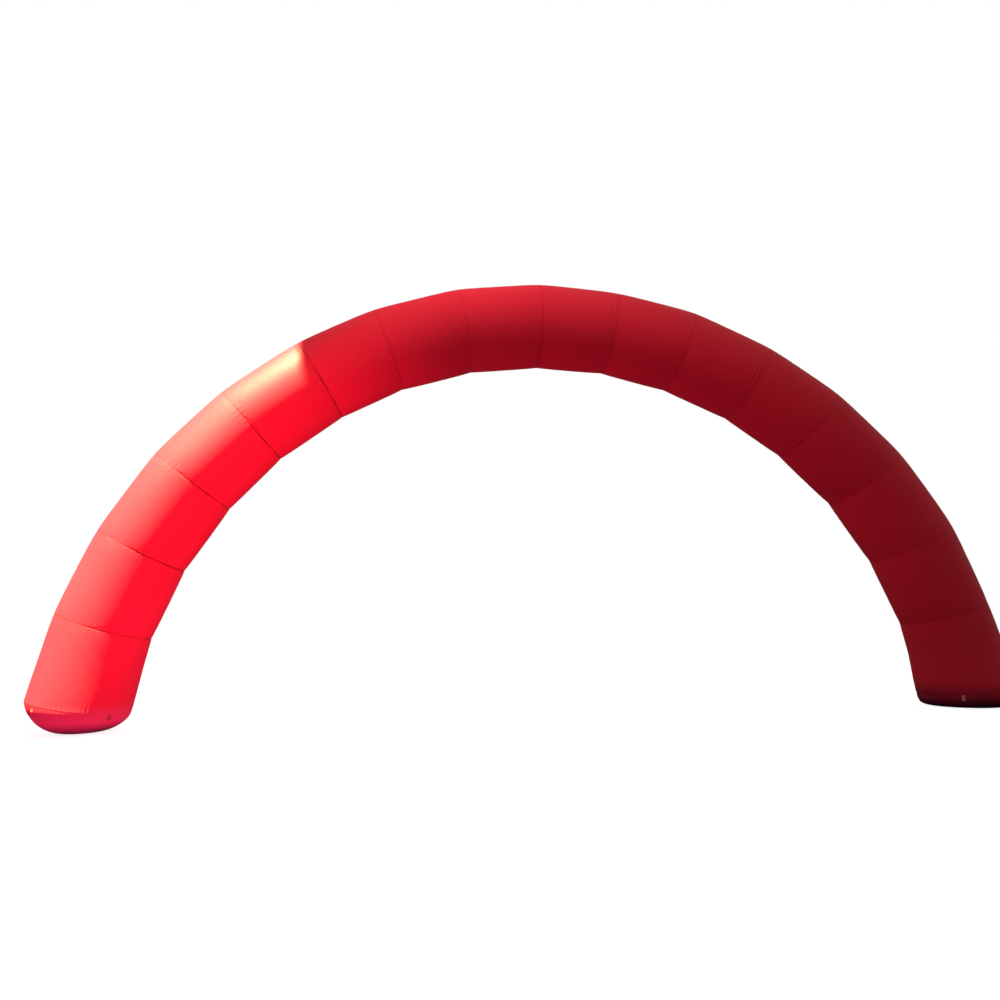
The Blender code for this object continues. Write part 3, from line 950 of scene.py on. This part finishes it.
    weave = []
    for direction in ("X", "Y"):
        weave.append(add_node(tree, "ShaderNodeTexWave",
                              {"wave_type": "BANDS", "bands_direction": direction},
                              {"Scale": pi / 10.0 / yarn_drawn, "Distortion": 0.0},
                              {"Vector": cloth_map.outputs["UV"]}))
    yarns = add_node(tree, "ShaderNodeMath", {"operation": "MAXIMUM"},
                     links={0: weave[0].outputs["Fac"], 1: weave[1].outputs["Fac"]})
    woven = add_node(tree, "ShaderNodeBump", values={"Strength": 1.0, "Distance": yarn_height},
                     links={"Height": yarns.outputs["Value"]})
    uneven = add_node(tree, "ShaderNodeBump", values={"Strength": 1.0, "Distance": 0.2 * MILLIMETRE},
                      links={"Height": slubs.outputs["Value"], "Normal": woven.outputs["Normal"]})
    crumples = add_node(tree, "ShaderNodeTexNoise",
                        values={"Scale": 1.0 / crumple, "Detail": 3.0, "Roughness": 0.5},
                        links={"Vector": places.outputs["Object"]})
    worn = add_node(tree, "ShaderNodeBump", values={"Strength": 1.0, "Distance": 1.6 * MILLIMETRE},
                    links={"Height": crumples.outputs["Fac"], "Normal": uneven.outputs["Normal"]})
    tree.links.new(worn.outputs["Normal"], shader.inputs["Normal"])

    gloss = add_node(tree, "ShaderNodeMapRange", values={1: 0.3, 2: 0.7, 3: 0.52, 4: 0.60},
                     links={0: patches.outputs["Fac"]})
    tree.links.new(gloss.outputs["Result"], shader.inputs["Roughness"])
    return material


def bonded_thread(cloth):
    """Bonded polyester thread: twisted, dyed to the cloth, with a waxy gloss on each stitch."""
    twist = 1.6 * MILLIMETRE
    material, tree, shader = new_material("bonded_polyester_thread", 0.5, 0.3)
    places = add_node(tree, "ShaderNodeTexCoord")
    fibres = add_node(tree, "ShaderNodeTexNoise", values={"Scale": 1.0 / twist, "Detail": 2.0},
                      links={"Vector": places.outputs["Object"]})
    ramp = add_node(tree, "ShaderNodeMapRange", values={1: 0.3, 2: 0.7, 3: 0.75, 4: 1.15},
                    links={0: fibres.outputs["Fac"]})
    colour = add_node(tree, "ShaderNodeVectorMath", {"operation": "SCALE"},
                      {0: tuple(cloth.thread_colour)}, {"Scale": ramp.outputs["Result"]})
    tree.links.new(colour.outputs["Vector"], shader.inputs["Base Color"])
    bump = add_node(tree, "ShaderNodeBump", values={"Distance": 0.1 * MILLIMETRE},
                    links={"Height": fibres.outputs["Fac"]})
    tree.links.new(bump.outputs["Normal"], shader.inputs["Normal"])
    return material


def polyester_webbing(tabs):
    """Woven polyester webbing: matt and pale, with fine ribs across it and grey-pink dirt worked into
    the weave."""
    rib_pitch = 2.2 * MILLIMETRE
    rib_height = 0.35 * MILLIMETRE
    material, tree, shader = new_material("woven_polyester_webbing", 0.78, 0.4, 0.1)
    strip = add_node(tree, "ShaderNodeUVMap", {"uv_map": "webbing"})
    places = add_node(tree, "ShaderNodeTexCoord")
    ribs = add_node(tree, "ShaderNodeTexWave", {"wave_type": "BANDS", "bands_direction": "Y"},
                    {"Scale": pi / 10.0 / rib_pitch, "Distortion": 0.6, "Detail": 1.0,
                     "Detail Scale": 300.0}, {"Vector": strip.outputs["UV"]})
    yarns = add_node(tree, "ShaderNodeTexWave", {"wave_type": "BANDS", "bands_direction": "X"},
                     {"Scale": pi / 10.0 / (1.4 * MILLIMETRE), "Distortion": 0.0},
                     {"Vector": strip.outputs["UV"]})
    woven = add_node(tree, "ShaderNodeMath", {"operation": "MULTIPLY_ADD"}, {1: 0.4},
                     {0: yarns.outputs["Fac"], 2: ribs.outputs["Fac"]})
    dirt = add_node(tree, "ShaderNodeTexNoise", values={"Scale": 60.0, "Detail": 4.0},
                    links={"Vector": places.outputs["Object"]})
    grime = add_node(tree, "ShaderNodeMapRange", values={1: 0.35, 2: 0.75, 3: -0.2, 4: 0.2},
                     links={0: dirt.outputs["Fac"]})
    worn = add_node(tree, "ShaderNodeAttribute", {"attribute_name": "dirt"})
    stained = add_node(tree, "ShaderNodeMath", {"operation": "ADD", "use_clamp": True},
                       links={0: grime.outputs["Result"], 1: worn.outputs["Fac"]})
    colour = add_node(tree, "ShaderNodeMix", {"data_type": "RGBA"},
                      {"A": opaque(tabs.webbing_colour), "B": opaque(tabs.stain_colour)},
                      {"Factor": stained.outputs["Value"]})
    shadow = add_node(tree, "ShaderNodeMapRange", values={1: 0.0, 2: 1.0, 3: 0.72, 4: 1.0},
                      links={0: ribs.outputs["Fac"]})
    ribbed = add_node(tree, "ShaderNodeVectorMath", {"operation": "SCALE"},
                      links={0: colour.outputs["Result"], "Scale": shadow.outputs["Result"]})
    tree.links.new(ribbed.outputs["Vector"], shader.inputs["Base Color"])
    bump = add_node(tree, "ShaderNodeBump", values={"Distance": rib_height},
                    links={"Height": woven.outputs["Value"]})
    tree.links.new(bump.outputs["Normal"], shader.inputs["Normal"])
    return material


def studio_floor():
    """Matt pale floor paint: light to the camera, and dim to the arch, which so keeps its own
    dark side."""
    material = bpy.data.materials.new("matt_floor_paint")
    material.use_nodes = True
    tree = material.node_tree
    shader = tree.nodes["Principled BSDF"]
    shader.inputs["Base Color"].default_value = opaque(hex_colour("#cbf1f2"))
    shader.inputs["Roughness"].default_value = 0.9
    shader.inputs["Emission Color"].default_value = opaque(hex_colour("#ffffff"))
    shader.inputs["Emission Strength"].default_value = 0.85
    seen = add_node(tree, "ShaderNodeLightPath")
    places = add_node(tree, "ShaderNodeTexCoord")
    span = add_node(tree, "ShaderNodeSeparateXYZ", links={"Vector": places.outputs["Object"]})
    along = add_node(tree, "ShaderNodeMapRange", values={1: -FLOOR_REACH, 2: FLOOR_REACH},
                     links={0: span.outputs["X"]})
    glow = add_node(tree, "ShaderNodeValToRGB", links={"Fac": along.outputs["Result"]})
    glow.color_ramp.interpolation = "B_SPLINE"
    stops = glow.color_ramp.elements
    stops.remove(stops[1])
    stops[0].position, colour = FLOOR_GLOWS[0]
    stops[0].color = opaque(hex_colour(colour))
    for place, colour in FLOOR_GLOWS[1:]:
        stops.new(place).color = opaque(hex_colour(colour))
    share = add_node(tree, "ShaderNodeMapRange", values={3: FLOOR_GLOW, 4: FLOOR_GLOW * GLOSS_SHARE},
                     links={0: seen.outputs["Is Glossy Ray"]})
    dim = add_node(tree, "ShaderNodeEmission",
                   links={"Color": glow.outputs["Color"], "Strength": share.outputs["Result"]})
    mix = add_node(tree, "ShaderNodeMixShader",
                   links={0: seen.outputs["Is Camera Ray"], 1: dim.outputs["Emission"],
                          2: shader.outputs["BSDF"]})
    tree.links.new(mix.outputs["Shader"], tree.nodes["Material Output"].inputs["Surface"])
    return material


def camera_axes():
    """Directions right of, above and into the picture."""
    ahead = Vector((sin(CAMERA_YAW) * cos(CAMERA_PITCH), cos(CAMERA_YAW) * cos(CAMERA_PITCH),
                    sin(CAMERA_PITCH)))
    level = Vector((cos(CAMERA_YAW), -sin(CAMERA_YAW), 0.0))
    upright = level.cross(ahead)
    right = level * cos(CAMERA_ROLL) + upright * sin(CAMERA_ROLL)
    up = upright * cos(CAMERA_ROLL) - level * sin(CAMERA_ROLL)
    return right, up, ahead


def add_camera():
    """The camera at the reference picture's place."""
    data = bpy.data.cameras.new("camera")
    data.lens = CAMERA_LENS
    data.sensor_width = SENSOR_WIDTH
    data.clip_end = 500.0
    camera = bpy.data.objects.new("camera", data)
    right, up, ahead = camera_axes()
    turned = Matrix((right, up, -ahead)).transposed().to_4x4()
    camera.matrix_world = Matrix.Translation(CAMERA_PLACE) @ turned
    bpy.context.scene.collection.objects.link(camera)
    bpy.context.scene.camera = camera


def add_lamp(lamp, power, lit):
    """A lamp that looks at a point and lights one collection."""
    data = bpy.data.lights.new(lamp.name, "SPOT")
    data.shadow_soft_size = lamp.size
    data.energy = power
    data.color = hex_colour(lamp.colour)
    data.spot_size = lamp.cone
    data.spot_blend = lamp.blend
    light = bpy.data.objects.new(lamp.name, data)
    light.location = lamp.place
    ahead = Vector(lamp.target) - Vector(lamp.place)
    light.rotation_euler = ahead.to_track_quat("-Z", "Y").to_euler()
    light.visible_camera = False
    light.visible_glossy = lamp is KEY_LAMP
    light.light_linking.receiver_collection = lit
    bpy.context.scene.collection.objects.link(light)


def add_sky(strength):
    """White to the camera, and a dim even light on everything else."""
    world = bpy.data.worlds.new("studio")
    world.use_nodes = True
    tree = world.node_tree
    background = tree.nodes["Background"]
    background.inputs["Color"].default_value = opaque(hex_colour("#ffd2d2"))
    white = add_node(tree, "ShaderNodeBackground", values={"Color": (1.0, 1.0, 1.0, 1.0), "Strength": 1.0})
    seen = add_node(tree, "ShaderNodeLightPath")
    places = add_node(tree, "ShaderNodeTexCoord")
    way = add_node(tree, "ShaderNodeVectorMath", {"operation": "DOT_PRODUCT"}, {1: SKY_TILT},
                   {0: places.outputs["Generated"]})
    side = add_node(tree, "ShaderNodeMath", {"operation": "ADD"}, {1: 1.0},
                    {0: way.outputs["Value"]})
    share = add_node(tree, "ShaderNodeMapRange", values={3: strength, 4: strength * SKY_GLOSS},
                     links={0: seen.outputs["Is Glossy Ray"]})
    power = add_node(tree, "ShaderNodeMath", {"operation": "MULTIPLY"},
                     links={0: side.outputs["Value"], 1: share.outputs["Result"]})
    tree.links.new(power.outputs["Value"], background.inputs["Strength"])
    mix = add_node(tree, "ShaderNodeMixShader",
                   links={0: seen.outputs["Is Camera Ray"], 1: background.outputs["Background"],
                          2: white.outputs["Background"]})
    tree.links.new(mix.outputs["Shader"], tree.nodes["World Output"].inputs["Surface"])
    bpy.context.scene.world = world


def material_of(name, maker, settings):
    """The named material, made once."""
    return bpy.data.materials.get(name) or maker(settings)


def finish_piece(piece, node):
    """Tie a piece to the model: it rides on the body, and the model's part that it stands for is hidden."""
    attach(piece, BODY)
    if node:
        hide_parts(node)


def ring_cut(number):
    """Flat cut of a ring: width round the tube, its longest length, and its area."""
    girth = tau * TUBE_RADIUS
    turn = abs(SEAM_LEANS[number + 1] - SEAM_LEANS[number])
    longest = RING_LENGTHS[number] + TUBE_RADIUS * turn
    return (girth, longest), girth * RING_LENGTHS[number]


def foot_cut(cloth, foot):
    """Flat cut of a foot: a round piece whose radius is the way from its middle to its seam."""
    angles = np.radians(np.linspace(0.0, 90.0, 60))
    lengths = []
    for bearing in np.linspace(0.0, tau, 12, endpoint=False):
        line = foot_places(cloth, foot, angles, np.full_like(angles, bearing))
        lengths.append(np.linalg.norm(np.diff(line, axis=0), axis=1).sum())
    reach = float(np.mean(lengths)) + foot.contact_radius
    return (2 * reach, 2 * reach), pi * reach ** 2


class ARCH_OT_sew_rings(bpy.types.Operator):
    """Sew the sixteen rings of the tube"""

    bl_idname = "arch.sew_rings"
    bl_label = "Sew the rings"

    def execute(self, context):
        cloth = context.scene.arch_cloth
        material = material_of("coated_polyester_cloth", coated_polyester_cloth, cloth)
        base = flat_mesh("tube", straight_tube(AROUND, len(ring_loops(0)[0])))
        for number in range(RING_COUNT):
            piece = sew_ring(cloth, number, base, material)
            finish_piece(piece, f"ring_{number + 1:02d}")
        bpy.data.meshes.remove(base)
        return {"FINISHED"}


class ARCH_OT_sew_feet(bpy.types.Operator):
    """Sew the two round feet"""

    bl_idname = "arch.sew_feet"
    bl_label = "Sew the feet"

    def execute(self, context):
        cloth = context.scene.arch_cloth
        material = material_of("coated_polyester_cloth", coated_polyester_cloth, cloth)
        for foot in FEET:
            piece = sew_foot(cloth, foot, material)
            finish_piece(piece, f"foot_cap_{foot.side}")
        return {"FINISHED"}


class ARCH_OT_stitch_seams(bpy.types.Operator):
    """Sew two rows of thread along each seam between rings"""

    bl_idname = "arch.stitch_seams"
    bl_label = "Stitch the seams"

    def execute(self, context):
        cloth = context.scene.arch_cloth
        material = material_of("bonded_polyester_thread", bonded_thread, cloth)
        base = thread_rows()
        for seam in range(1, RING_COUNT):
            finish_piece(sew_thread(cloth, seam, base, material), None)
        bpy.data.meshes.remove(base)
        return {"FINISHED"}


class ARCH_OT_sew_tabs(bpy.types.Operator):
    """Sew the tether tabs to the feet"""

    bl_idname = "arch.sew_tabs"
    bl_label = "Sew the tether tabs"

    def execute(self, context):
        cloth = context.scene.arch_cloth
        tabs = context.scene.arch_tabs
        webbing = material_of("woven_polyester_webbing", polyester_webbing, tabs)
        thread = material_of("bonded_polyester_thread", bonded_thread, cloth)
        for tab in TABS:
            piece = sew_tab(cloth, tabs, tab, webbing)
            finish_piece(piece, f"tether_tab_{tab.foot}_{tab.place}")
            finish_piece(tab_stitches(cloth, tab, thread), None)
        return {"FINISHED"}


class ARCH_OT_declare_cuts(bpy.types.Operator):
    """Work out the flat size and area of every piece of cloth, and keep none of them"""

    bl_idname = "arch.declare_cuts"
    bl_label = "State the cuts"

    def execute(self, context):
        cloth = context.scene.arch_cloth
        names = ["cloth_foot_left"]
        names += [f"cloth_ring_{number + 1:02d}" for number in range(RING_COUNT)]
        names += ["cloth_foot_right"]
        for number in range(RING_COUNT):
            flat, area = ring_cut(number)
        for foot, neighbour in zip(FEET, (names[1], names[-2])):
            flat, area = foot_cut(cloth, foot)
        return {"FINISHED"}


class ARCH_OT_set_stage(bpy.types.Operator):
    """Lay the floor, set the lights and place the camera"""

    bl_idname = "arch.set_stage"
    bl_label = "Set the stage"

    def execute(self, context):
        stage = context.scene.arch_stage
        shape = bmesh.new()
        bmesh.ops.create_grid(shape, x_segments=1, y_segments=1, size=stage.floor_size / 2)
        bmesh.ops.translate(shape, vec=(0.0, 0.0, -MILLIMETRE), verts=shape.verts)
        mesh_object("floor", shape, studio_floor())
        arch = bpy.data.collections.new("lit_by_lamps")
        for piece in context.scene.objects:
            if piece.name != "floor":
                arch.objects.link(piece)
        add_lamp(KEY_LAMP, stage.key_power, arch)
        add_lamp(FILL_LAMP, stage.fill_power, arch)
        add_lamp(TOP_LAMP, stage.top_power, arch)
        add_sky(stage.sky)
        add_camera()
        context.scene.view_settings.view_transform = "Standard"
        return {"FINISHED"}


class ARCH_PT_panel(bpy.types.Panel):
    """Sizes, colours and steps of the arch."""

    bl_label = "Inflatable arch"
    bl_idname = "ARCH_PT_panel"
    bl_space_type = "VIEW_3D"
    bl_region_type = "UI"
    bl_category = "Arch"

    def draw(self, context):
        layout = self.layout
        for settings, title in ((context.scene.arch_cloth, "Cloth"),
                                (context.scene.arch_tabs, "Tabs"),
                                (context.scene.arch_stage, "Stage")):
            box = layout.box()
            box.label(text=title)
            for name in settings.__annotations__:
                box.prop(settings, name)
        for step in STEPS:
            layout.operator(step.bl_idname)


STEPS = (ARCH_OT_sew_rings, ARCH_OT_sew_feet, ARCH_OT_stitch_seams, ARCH_OT_sew_tabs,
         ARCH_OT_declare_cuts, ARCH_OT_set_stage)
SETTINGS = (
    ("arch_cloth", ArchClothSettings),
    ("arch_tabs", ArchTabSettings),
    ("arch_stage", ArchStageSettings),
)


def register():
    for name, settings in SETTINGS:
        bpy.utils.register_class(settings)
        setattr(bpy.types.Scene, name, PointerProperty(type=settings))
    for shown in (*STEPS, ARCH_PT_panel):
        bpy.utils.register_class(shown)


def unregister():
    for shown in reversed((*STEPS, ARCH_PT_panel)):
        bpy.utils.unregister_class(shown)
    for name, settings in reversed(SETTINGS):
        delattr(bpy.types.Scene, name)
        bpy.utils.unregister_class(settings)


def main():
    register()
    for step in STEPS:
        group, name = step.bl_idname.split(".")
        getattr(getattr(bpy.ops, group), name)()


if __name__ == "__main__":
    main()
